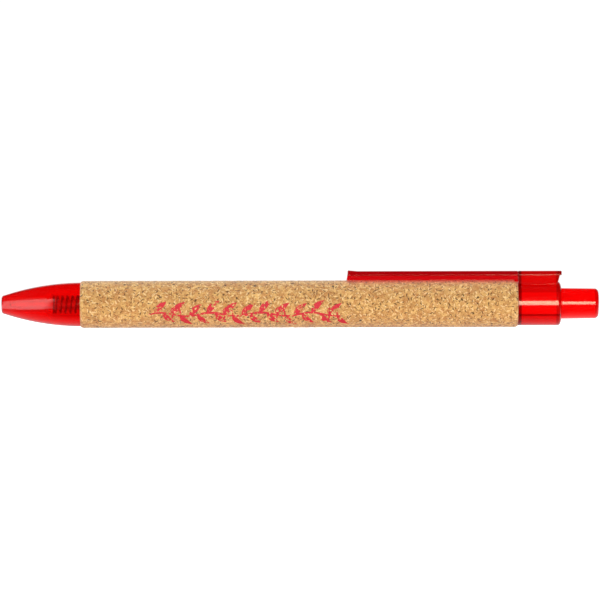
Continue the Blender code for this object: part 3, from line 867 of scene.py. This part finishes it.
def make_studio():
    bpy.context.scene.view_settings.view_transform = "Standard"
    make_world()
    softbox("front_strip", (0.36, -1.9, 0.0), (0.9, 0.9), STRIP_LIGHT, "glossy", STRIP_COLOUR)
    softbox("nose_box", (-1.25, -1.5, 0.2), (1.5, 2.0), NOSE_LIGHT, "glossy", NOSE_COLOUR)
    softbox("front_fill", (0, -1.9, 0.6), (2.4, 1.2), FRONT_FILL, "diffuse")
    softbox("top_box", (0, 0.3, 1.6), (1.6, 1.0), TOP_LIGHT, "diffuse")
    make_floor()


# ---------------------------------------------------------------- the pen


def nose_radius(station):
    drop = sqrt(NOSE_ARC_RADIUS**2 - (station - NOSE_ARC_TOP_STATION) ** 2)
    return NOSE_ARC_TOP - NOSE_ARC_RADIUS + drop


def make_nose(material, inner):
    rim = NOSE_RIM_RADIUS
    rear = BARREL_FRONT - SEAM_GAP
    outline = arc(rim, nose_radius(rim) - rim, (rim, rim), 180, 108, 10)
    stations = np.linspace(rim, rear - 0.15 * MM, NOSE_ARC_STEPS)
    outline += [(station, nose_radius(station)) for station in stations]
    outline += filleted([
        (rear - SOFT_EDGE, nose_radius(rear)),
        (rear, nose_radius(rear), SOFT_EDGE),
        (rear, SPIGOT_RADIUS, SHARP_EDGE),
        (NOSE_SPIGOT_END - SPIGOT_CHAMFER, SPIGOT_RADIUS, SOFT_EDGE),
        (NOSE_SPIGOT_END, SPIGOT_RADIUS - SPIGOT_CHAMFER, SOFT_EDGE),
        (NOSE_SPIGOT_END, SPRING_CHAMBER, SOFT_EDGE),
        (SPRING_CHAMBER_FRONT, SPRING_CHAMBER, 0.15 * MM),
        (TIP_BORE_END, TIP_BORE, 0.3 * MM),
        (SOFT_EDGE, TIP_BORE),
        (0.0, NOSE_RIM_BORE),
    ])
    nose = lathe("nose_shell", outline)
    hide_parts("nose_cone")
    dress(nose, material, "nose", inner)


def make_cap(material, inner):
    outline = filleted([
        (CAP_SPIGOT_FRONT, ROTOR_BORE, EDGE),
        (CAP_SPIGOT_FRONT, SPIGOT_RADIUS - CAP_SPIGOT_LEAD, SHARP_EDGE),
        (CAP_SPIGOT_FRONT + 2 * CAP_SPIGOT_LEAD, SPIGOT_RADIUS, SOFT_EDGE),
        (CAP_FRONT, SPIGOT_RADIUS, SHARP_EDGE),
        (CAP_FRONT, CAP_RADIUS, SOFT_EDGE),
    ])
    dome = (CAP_DOME_LENGTH, CAP_RADIUS - CAP_DOME_RADIUS)
    outline += arc(CAP_REAR - CAP_DOME_LENGTH, CAP_DOME_RADIUS, dome, 90, 0, 12)
    outline += filleted([
        (CAP_REAR, CAP_BORE, 0.06 * MM),
        (CAP_BORE_FRONT, CAP_BORE, SOFT_EDGE),
        (CAP_BORE_FRONT, ROTOR_BORE),
    ])
    cap = lathe("cap_shell", outline)

    start = CLIP_SEAM + CLIP_GAP
    bottom = CLIP_TOP - PLATE_THICKNESS
    joined = bottom + PLATE_OVERLAP
    block = [
        (start, BLOCK_BOTTOM),
        (BLOCK_BOTTOM_END, BLOCK_BOTTOM),
        (BLOCK_TOP_END, joined),
        (start, joined),
    ]
    top = [(start, bottom), (PLATE_END, bottom), (PLATE_END, CLIP_TOP), (start, CLIP_TOP)]
    slot_front = start - CUTTER_OVERSHOOT
    low, high = SLOT_HEIGHTS
    slot = [(slot_front, low), (SLOT_END, low), (SLOT_END, high), (slot_front, high)]
    combine(cap, draft(plate("block", block, BLOCK_WIDTH, EDGE), bottom), "UNION")
    combine(cap, draft(plate("top", top, PLATE_WIDTH, 0.2 * MM, 4), CLIP_TOP), "UNION")
    combine(cap, plate("slot", slot, SLOT_WIDTH), "DIFFERENCE")
    groove_rear = CAP_REAR - 1.1 * MM
    grooves = boxes_round_axis("grooves", 4, GROOVE_REACH, GROOVE_WIDTH, GROOVE_FRONT, groove_rear)
    combine(cap, grooves, "DIFFERENCE")
    even_normals(cap)
    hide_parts("rear_cap")
    dress(cap, material, "barrel", inner)


def make_clip(material):
    """The clip: a plate with a skirt, hollow underneath, and a tongue that enters the cap's slot."""
    seam, tip, low = CLIP_SEAM, CLIP_TIP, CLIP_LOW
    bottom = CLIP_TOP - PLATE_THICKNESS
    joined = bottom + PLATE_OVERLAP
    top = [
        (tip + TIP_RISE, bottom),
        (seam, bottom),
        (seam, CLIP_TOP),
        (tip + TIP_RISE_LENGTH, CLIP_TOP),
        (tip + 1.5 * TIP_RISE, CLIP_TOP + TIP_RISE),
    ]
    skirt = [
        (tip, low),
        (seam - HEEL_LENGTHS[0], low),
        (seam - HEEL_LENGTHS[1], low - HEEL_DROP),
        (seam, low - HEEL_DROP),
        (seam, joined),
        (tip + 1.25 * TIP_RISE, joined),
    ]
    over = AXIS_HEIGHT + CLIP_CLEARANCE
    cavity_low = low - CUTTER_OVERSHOOT
    cavity = [
        (tip - CUTTER_OVERSHOOT, cavity_low),
        (seam + CUTTER_OVERSHOOT, cavity_low),
        (seam + CUTTER_OVERSHOOT, over),
        (seam - 2 * CLIP_WALL, over),
        (seam - 2 * CLIP_WALL, bottom),
        (tip + 2 * CLIP_WALL, bottom),
        (tip + 2 * CLIP_WALL, over),
        (tip - CUTTER_OVERSHOOT, over),
    ]
    tongue = [
        (seam - CLIP_WALL, TONGUE_HEIGHTS[0]),
        (seam + TONGUE_LENGTH, TONGUE_HEIGHTS[0]),
        (seam + TONGUE_LENGTH, TONGUE_HEIGHTS[1]),
        (seam - CLIP_WALL, TONGUE_HEIGHTS[1]),
    ]
    clip = draft(plate("clip_arm_shell", top, PLATE_WIDTH, 0.2 * MM, 4), CLIP_TOP)
    combine(clip, draft(plate("skirt", skirt, BLOCK_WIDTH, SOFT_EDGE), bottom), "UNION")
    combine(clip, draft(plate("cavity", cavity, BLOCK_WIDTH - 2 * CLIP_WALL), bottom), "DIFFERENCE")
    combine(clip, plate("tongue", tongue, TONGUE_WIDTH, 0.08 * MM), "UNION")
    cut_across(clip.data, [seam - CLIP_BEND * step / CLIP_BEND_STEPS for step in range(CLIP_BEND_STEPS + 1)])
    even_normals(clip)
    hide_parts("clip")
    dress(clip, material, None)
    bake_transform(clip)


def make_button(material, inner):
    outline = [(PLUNGER_BORE_END, 0)]
    outline += filleted([
        (PLUNGER_BORE_END, 0.5 * MM),
        (PLUNGER_BORE_END, PLUNGER_BORE, 0.3 * MM),
        (PLUNGER_FRONT, PLUNGER_BORE, SHARP_EDGE),
        (PLUNGER_FRONT, PLUNGER_RADIUS, SHARP_EDGE),
        (CAP_REAR, PLUNGER_RADIUS),
        (CAP_REAR + SEAM_GAP, BUTTON_RADIUS),
        (CAP_REAR + 3 * SEAM_GAP, BUTTON_RADIUS),
    ])
    edge = (BUTTON_EDGE, BUTTON_EDGE)
    outline += arc(PEN_LENGTH - BUTTON_EDGE, BUTTON_END_RADIUS - BUTTON_EDGE, edge, 88, 0, 12)
    outline += [(PEN_LENGTH, BUTTON_FLAT_RADIUS), (PEN_LENGTH, 0)]
    button = lathe("button_shell", outline, ring=False)
    combine(button, boxes_round_axis("lugs", 4, LUG_REACH, LUG_WIDTH, LUG_FRONT, LUG_REAR), "UNION")
    combine(button, crown_notches(), "DIFFERENCE", crossing=True)
    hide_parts("push_button")
    dress(button, material, "button", inner)


def spring_centre_line():
    """Points along the middle of the wire: closed turns at both ends, open turns between."""
    open_turns = (SPRING_REAR - SPRING_FRONT - 2 * CLOSED_TURNS * CLOSED_PITCH) / PITCH
    turns = 2 * CLOSED_TURNS + open_turns
    count = round(turns * STEPS_PER_TURN)
    points = []
    for step in range(count + 1):
        turn = turns * step / count
        opened = min(max(turn - CLOSED_TURNS, 0), open_turns)
        station = SPRING_FRONT + opened * PITCH + (turn - opened) * CLOSED_PITCH
        points.append(Vector((station, COIL_RADIUS * sin(2 * pi * turn), COIL_RADIUS * cos(2 * pi * turn))))
    return points


def make_spring(material):
    centres = spring_centre_line()
    builder = bmesh.new()
    rows = []
    for index, centre in enumerate(centres):
        along = (centres[min(index + 1, len(centres) - 1)] - centres[max(index - 1, 0)]).normalized()
        side = along.cross(Vector((0, centre.y, centre.z)).normalized()).normalized()
        out = side.cross(along)
        row = []
        for corner in range(WIRE_SIDES):
            angle = 2 * pi * corner / WIRE_SIDES
            row.append(builder.verts.new(centre + WIRE_RADIUS * (cos(angle) * out + sin(angle) * side)))
        rows.append(row)
    for first, second in zip(rows, rows[1:]):
        for corner in range(WIRE_SIDES):
            after = (corner + 1) % WIRE_SIDES
            builder.faces.new([first[corner], first[after], second[after], second[corner]])
    builder.faces.new(list(reversed(rows[0])))
    builder.faces.new(rows[-1])
    bmesh.ops.recalc_face_normals(builder, faces=builder.faces)
    spring = finished(builder, "coil_spring", 60)
    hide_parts("return_spring")
    dress(spring, material, "barrel")
    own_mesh(spring)


def make_refill_tube(material):
    tube = lathe("refill_barrel", filleted([
        (REFILL_FRONT, REFILL_BORE, SHARP_EDGE),
        (REFILL_FRONT, REFILL_RADIUS, 0.15 * MM),
        (REFILL_REAR, REFILL_RADIUS, SOFT_EDGE),
        (REFILL_REAR, REFILL_BORE, SHARP_EDGE),
    ]), SMALL_SIDES)
    ears = boxes_round_axis("ears", 2, EAR_REACH, EAR_WIDTH, EAR_FRONT, EAR_FRONT + EAR_LENGTH)
    combine(tube, ears, "UNION")
    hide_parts("refill_tube")
    dress(tube, material, "refill")


def make_refill_point(material):
    shoulder = REFILL_FRONT - SEAM_GAP
    outline = filleted([
        (POINT_FRONT, POINT_FRONT_RADIUS, 0.03 * MM),
        (POINT_CONE_END, POINT_RADIUS, 0.3 * MM),
        (shoulder, POINT_RADIUS, SOFT_EDGE),
        (shoulder, INK_RADIUS, SHARP_EDGE),
        (POINT_SHANK_END, INK_RADIUS, SOFT_EDGE),
        (POINT_SHANK_END, POINT_BORE, SHARP_EDGE),
    ])
    outline += arc(BALL_STATION, 0, (BALL_SEAT, BALL_SEAT), 33, 118, 10)
    tip = lathe("refill_point", outline, SMALL_SIDES)
    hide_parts("refill_tip")
    dress(tip, material, "refill")


def make_ink(ink_material, grease_material):
    outline = [(INK_FRONT, 0), (INK_FRONT, INK_RADIUS), (INK_REAR, INK_RADIUS), (INK_REAR, 0)]
    ink = lathe("ink_fill", outline, INSIDE_SIDES, False)
    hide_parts("ink_column")
    dress(ink, ink_material, "refill")

    # The grease ends in a hollow, as a liquid does that wets its tube
    front = INK_REAR + SEAM_GAP
    rear = front + GREASE_LENGTH
    hollow = [(rear - 0.3 * MM, INK_RADIUS / 2), (rear - 0.4 * MM, 0)]
    outline = [(front, 0), (front, INK_RADIUS), (rear, INK_RADIUS), *hollow]
    grease = lathe("grease_fill", outline, INSIDE_SIDES, False)
    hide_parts("grease_plug")
    dress(grease, grease_material, "refill")


def make_ball(material):
    outline = arc(BALL_STATION, 0, (BALL_RADIUS, BALL_RADIUS), 180, 0, 24)
    outline[0] = (BALL_STATION - BALL_RADIUS, 0)
    outline[-1] = (BALL_STATION + BALL_RADIUS, 0)
    ball = lathe("point_ball", outline, INSIDE_SIDES, False)
    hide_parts("writing_ball")
    dress(ball, material, "ball")


def cork_depth(x, angle):
    """How deep the cork's surface lies below its full radius: cracks, granules and a fine grain."""
    place = Vector((x, AXIS_HEIGHT * sin(angle), AXIS_HEIGHT * cos(angle))) / MM
    distances, centres = noise.voronoi(place * 1.05 + Vector((4, 9, 2)))[:2]
    crack = min(max((distances[1] - distances[0]) / 0.22, 0), 1)
    own = noise.cell(centres[0] * 7.3) * 0.5 + 0.5
    fine = noise.noise(place * 3.1) * 0.5 + 0.5
    return (0.045 * (1 - crack) + 0.03 * min(max(own, 0), 1) + 0.035 * fine) * MM


def make_cork(material):
    front, rear = BARREL_FRONT, CORK_REAR
    length, drop = CORK_END_LENGTH, CORK_END_DROP
    curve = [radians(angle) for angle in np.linspace(0, 90, 8)][:-1]
    head = [(front + length - length * cos(a), drop * (1 - sin(a))) for a in curve]
    tail = [(rear - length + length * cos(a), drop * (1 - sin(a))) for a in reversed(curve)]
    stations = np.linspace(front + length, rear - length, round((rear - front) / CORK_SPACING))
    rows = head + [(station, 0) for station in stations] + tail
    bore = AXIS_HEIGHT - CORK_THICKNESS
    builder = bmesh.new()
    grid = []
    for station, lower in rows + [(rear, None), (front, None)]:
        row = []
        for index in range(CORK_SIDES):
            angle = 2 * pi * index / CORK_SIDES
            radius = bore if lower is None else AXIS_HEIGHT - lower - cork_depth(station, angle)
            row.append(builder.verts.new((station, radius * sin(angle), radius * cos(angle))))
        grid.append(row)
    for first, second in zip(grid, grid[1:] + grid[:1]):
        for index in range(CORK_SIDES):
            after = (index + 1) % CORK_SIDES
            builder.faces.new([first[index], first[after], second[after], second[index]])
    bmesh.ops.recalc_face_normals(builder, faces=builder.faces)
    cork = finished(builder, "cork_sheet", 60)
    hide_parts("cork_wrap")
    dress(cork, material, "barrel")


def on_cork(station, round_way, lift):
    """The place on the cork at a distance round the barrel, up from the near side."""
    angle = round_way / AXIS_HEIGHT + pi / 2
    radius = AXIS_HEIGHT - cork_depth(station, angle) + lift
    around = round_way / AXIS_HEIGHT
    return station, -radius * cos(around), radius * sin(around)


def wall(builder, first, second):
    """Faces between two rows of as many points."""
    for index in range(len(first) - 1):
        builder.faces.new([first[index], first[index + 1], second[index + 1], second[index]])


def stroke(builder, path, widths, across=4):
    """A film of ink along a path of (station, distance round the barrel) points, laid on the cork."""
    points = [Vector(point) for point in path]
    layers = []
    for lift in (PRINT_FILM, -PRINT_FILM):
        rows = []
        for index, (point, width) in enumerate(zip(points, widths)):
            ahead = points[min(index + 1, len(points) - 1)] - points[max(index - 1, 0)]
            side = Vector((-ahead.y, ahead.x)).normalized() * width / 2
            places = [point + side * (2 * step / across - 1) for step in range(across + 1)]
            rows.append([builder.verts.new(on_cork(*place, lift)) for place in places])
        layers.append(rows)
    top, bottom = layers
    for rows in layers:
        for near, far in zip(rows, rows[1:]):
            wall(builder, near, far)
    for step in (0, across):
        wall(builder, [row[step] for row in top], [row[step] for row in bottom])
    for index in (0, -1):
        wall(builder, top[index], bottom[index])


def leaf(builder, base, angle, length, width, curl):
    """An almond-shaped leaf that bends as it grows."""
    steps = 12
    path, place, way = [], Vector(base), radians(angle)
    for step in range(steps + 1):
        path.append(tuple(place))
        place += Vector((cos(way), sin(way))) * length / steps
        way += radians(curl) / steps
    widths = [max(width * sin(pi * (step / steps) ** 0.8), 0.05 * MM) for step in range(steps + 1)]
    stroke(builder, path, widths)


def tendril(builder, base, angle, length, turns):
    """A thin stem that winds up towards its end."""
    steps = 30
    path, place, way = [], Vector(base), radians(angle)
    for step in range(steps + 1):
        path.append(tuple(place))
        place += Vector((cos(way), sin(way))) * length / steps
        way += 2 * pi * turns / steps * (0.4 + 1.2 * step / steps)
    stroke(builder, path, [TENDRIL_WIDTH * (1.15 - 0.6 * step / steps) for step in range(steps + 1)], 2)


def stem(share):
    """The place on the sprig's wavy stem at that share of its length."""
    along = (PRINT_REAR - PRINT_FRONT) * share
    return PRINT_FRONT + along, PRINT_HEIGHT + STEM_SWING * sin(2 * pi * along / STEM_WAVE)


def make_print(material):
    """A plain sprig of leaves, printed in red along the near side of the wrap."""
    builder = bmesh.new()
    steps = 150
    widths = [(0.36 + 0.2 * sin(pi * step / steps)) * MM for step in range(steps + 1)]
    stroke(builder, [stem(step / steps) for step in range(steps + 1)], widths, 2)
    for index in range(LEAF_PAIRS):
        upper = stem((index + 0.35) / LEAF_PAIRS)
        lower = stem((index + 0.8) / LEAF_PAIRS)
        leaf(builder, upper, 60, 4.3 * MM, 1.45 * MM, -34)
        leaf(builder, lower, -58, 4.0 * MM, 1.35 * MM, 34)
        if index % 3 == 1:
            tendril(builder, lower, 78, 5.0 * MM, 0.75)
            tendril(builder, upper, -78, 3.9 * MM, -0.75)
    bmesh.ops.recalc_face_normals(builder, faces=builder.faces)
    dress(finished(builder, "sprig_print"), material, "barrel")


make_camera()
make_studio()

cap_bore = red_plastic("cap_bore_plastic", CAP_RED, 0.2, 0.1)
make_nose(
    red_plastic("nose_plastic", NOSE_RED, 0.06, clear=0.85, worn=0.16),
    red_plastic("nose_bore_plastic", BORE_RED, 0.1, 0.05),
)
make_cap(red_plastic("cap_plastic", CAP_RED, 0.07, clear=0.4, painted_shade=CAP_PAINTED_SHADE), cap_bore)
make_clip(red_plastic("clip_plastic", CLIP_RED, 0.1, 0.0, clear=0.45, shine=0.05, painted_shade=CLIP_PAINTED_SHADE))
make_button(red_plastic("button_plastic", CAP_RED, 0.07, clear=0.5, painted_shade=BUTTON_PAINTED_SHADE), cap_bore)
make_spring(drawn("spring_wire", (0.33, 0.32, 0.32), 0.25, (1, 1, 1), 2500))
make_refill_tube(plain("milky_tube", (0.85, 0.85, 0.82), 0.25, Transmission_Weight=0.5))
make_refill_point(drawn("turned_brass", (0.86, 0.80, 0.70), 0.5, (4, 0.2, 0.2), 1500, metallic=0.5))
make_ink(
    plain("paste_ink", (0.008, 0.010, 0.035), 0.25),
    plain("follower_grease", (0.80, 0.72, 0.48), 0.15, Transmission_Weight=0.6),
)
make_ball(plain("carbide_ball", (0.55, 0.55, 0.57), 0.08, metallic=1.0, spread=0.05))
make_cork(cork_material("pressed_cork"))
make_print(print_ink("red_print"))
for node, material in (
    ("paper_tube", kraft("kraft_tube")),
    ("cam_rotor", plain("white_acetal", (0.82, 0.82, 0.80), 0.3)),
):
    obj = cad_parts[node]
    obj.data.materials.clear()
    obj.data.materials.append(material)
